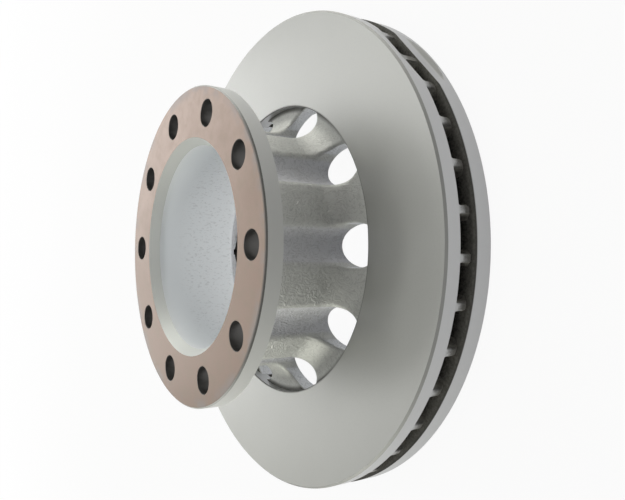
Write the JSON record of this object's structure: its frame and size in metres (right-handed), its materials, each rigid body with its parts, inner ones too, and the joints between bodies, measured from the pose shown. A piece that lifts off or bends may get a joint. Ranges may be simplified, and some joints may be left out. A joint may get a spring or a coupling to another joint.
{
  "type": "brake disc",
  "caption": "Ventilated brake disc, cast in one piece, with vanes between its plates and a deep fluted hat ending in a drilled mounting flange.",
  "frame": {"origin": "centre of the bounding box's base, on the disc's axis in the plane of the inboard friction face", "axes": "+Z along the axis of rotation from the inboard friction face towards the mounting flange; +X through one bolt hole"},
  "size_m": [0.39, 0.39, 0.1242],
  "materials": {
    "iron": "thin matt silver coating over cast and turned iron"
  },
  "bodies": {
    "root": {"brake_disc": "iron"}
  },
  "joints": []
}
